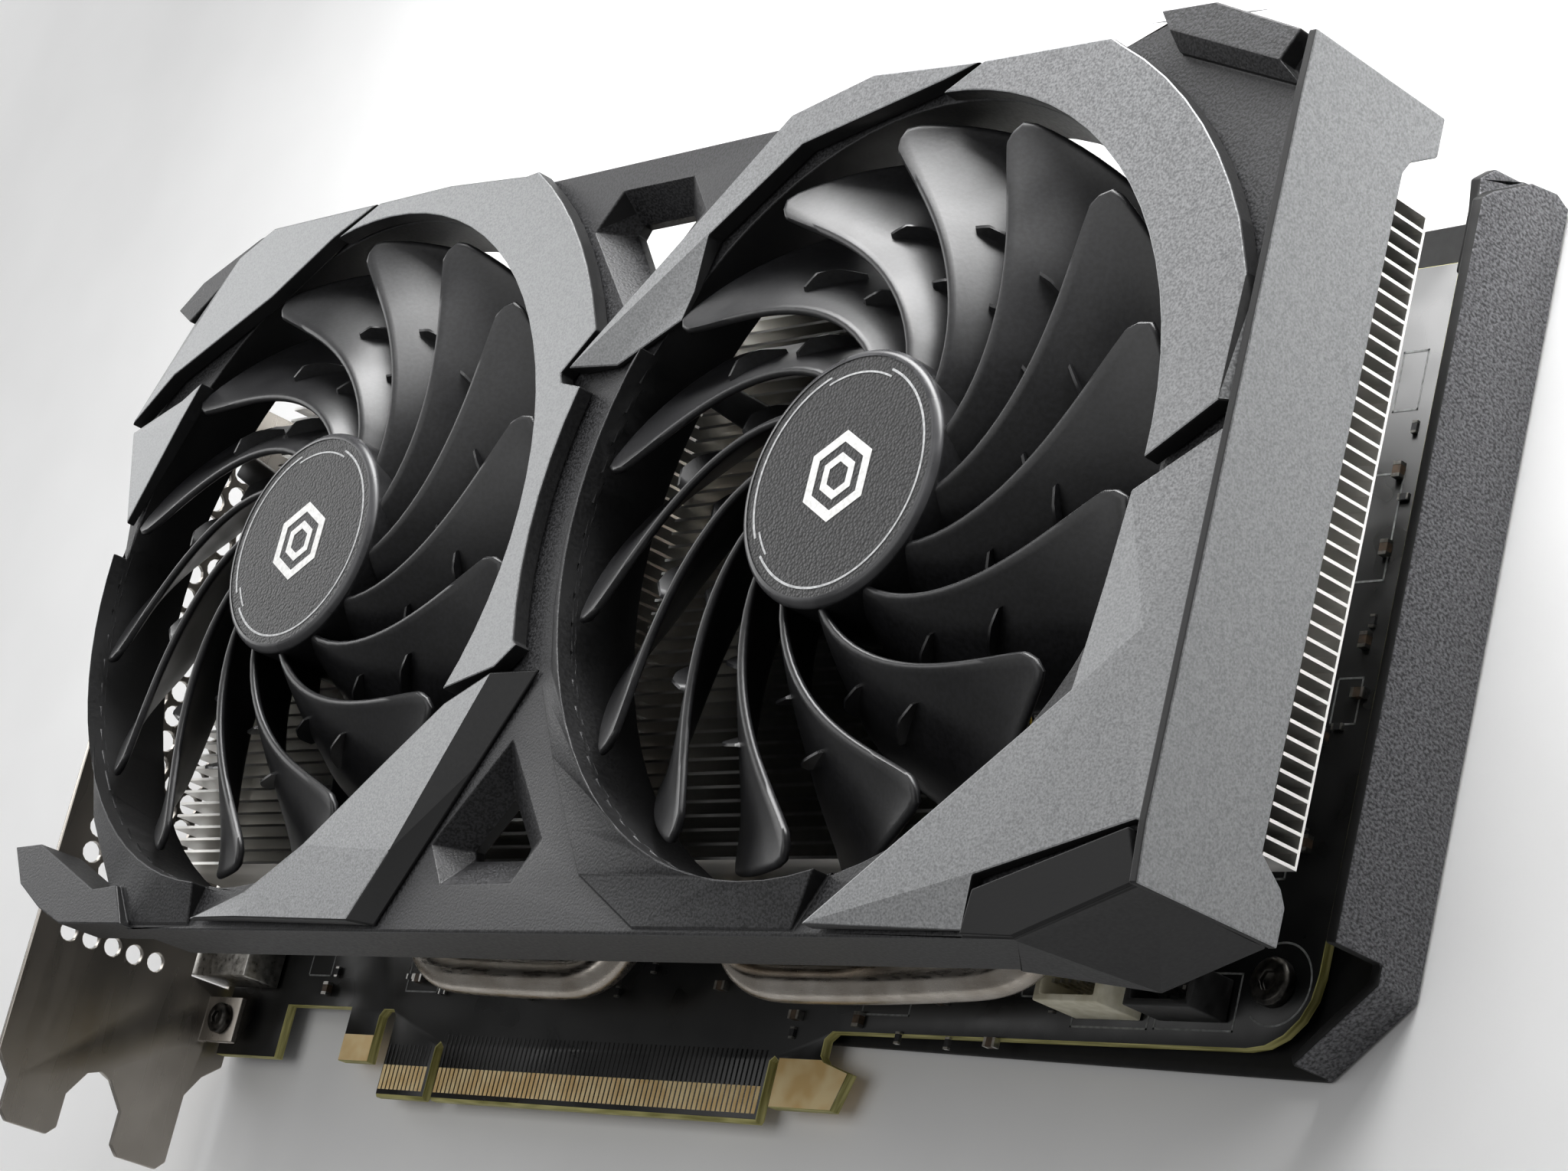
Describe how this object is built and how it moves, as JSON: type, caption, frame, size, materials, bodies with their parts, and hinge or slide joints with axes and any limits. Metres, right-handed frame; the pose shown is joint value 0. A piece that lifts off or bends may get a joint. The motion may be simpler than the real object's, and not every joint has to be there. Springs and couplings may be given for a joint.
{
  "type": "graphics card",
  "caption": "Dual-slot graphics card with two spinning axial fans in a faceted shroud, finned cooler with heat pipes, backplate, mounting bracket and gold edge connector.",
  "frame": {"origin": "centre of the bounding box at its base, the plane of the backplate the card lies on", "axes": "+X along the card from the bracket to the tail, +Y from the edge connector to the top edge, +Z from the backplate to the fans"},
  "size_m": [0.2462, 0.1404, 0.0494],
  "materials": {
    "dark_abs": "fine-grained moulded ABS",
    "silver_paint": "fine metallic-flake paint, satin",
    "fan_plastic": "matte black moulded blades",
    "label_film": "grained film",
    "copper_winding": "enamelled wire and sintered bronze",
    "steel": "plain steel",
    "nickel_plate": "nickel plate, satin",
    "fin_aluminium": "bare rolled sheet",
    "board_laminate": "black solder mask on glass laminate",
    "chip_epoxy": "moulded epoxy",
    "backplate_coat": "coarse leather-grain coat",
    "bracket_steel": "nickel-plated sheet steel",
    "black_nylon": "moulded nylon",
    "cream_nylon": "moulded nylon",
    "wire_insulation": "PVC insulation"
  },
  "bodies": {
    "card": {"aux_header": "black_nylon", "backplate": "backplate_coat", "board_screw": "steel", "bracket_screw_1": "steel", "bracket_screw_2": "steel", "circuit_board": "board_laminate", "cold_plate": "nickel_plate", "cooler_screw_1": "steel", "cooler_screw_2": "steel", "cooler_screw_3": "steel", "cooler_screw_4": "steel", "display_port_1": "steel", "display_port_2": "steel", "display_port_3": "steel", "fan_bearing_left": "copper_winding", "fan_bearing_right": "copper_winding", "fan_carrier_left": "fan_plastic", "fan_carrier_right": "fan_plastic", "fan_header": "cream_nylon", "fan_lead_right": "wire_insulation", "fan_stator_left": "copper_winding", "fan_stator_right": "copper_winding", "fin_stack_left": "fin_aluminium", "fin_stack_right": "fin_aluminium", "gpu_die": "steel", "gpu_substrate": "chip_epoxy", "hdmi_port": "steel", "heat_pipe_1": "nickel_plate", "heat_pipe_2": "nickel_plate", "heat_pipe_3": "nickel_plate", "heat_pipe_4": "nickel_plate", "memory_chip_1": "chip_epoxy", "memory_chip_2": "chip_epoxy", "memory_chip_3": "chip_epoxy", "memory_chip_4": "chip_epoxy", "memory_chip_5": "chip_epoxy", "memory_chip_6": "chip_epoxy", "mounting_bracket": "bracket_steel", "power_choke_1": "chip_epoxy", "power_choke_2": "chip_epoxy", "power_choke_3": "chip_epoxy", "power_choke_4": "chip_epoxy", "power_connector": "black_nylon", "shroud": "dark_abs", "tail_cap": "silver_paint", "trim_left_arc": "silver_paint", "trim_left_diagonal": "silver_paint", "trim_left_point": "silver_paint", "trim_left_shoulder": "silver_paint", "trim_right_arc": "silver_paint", "trim_right_corner": "silver_paint", "trim_right_shoulder": "silver_paint"},
    "fan_left": {"fan_rotor_left": "fan_plastic", "fan_shaft_left": "steel", "hub_label_left": "label_film"},
    "fan_right": {"fan_rotor_right": "fan_plastic", "fan_shaft_right": "steel", "hub_label_right": "label_film"}
  },
  "joints": [
    {"name": "fan_left_spin", "type": "hinge", "parent": "card", "child": "fan_left", "pos_m": [-0.05385, 0.01395, 0.0343], "axis": [0, 0, 1], "continuous": true},
    {"name": "fan_right_spin", "type": "hinge", "parent": "card", "child": "fan_right", "pos_m": [0.06035, 0.01395, 0.0343], "axis": [0, 0, 1], "continuous": true}
  ]
}
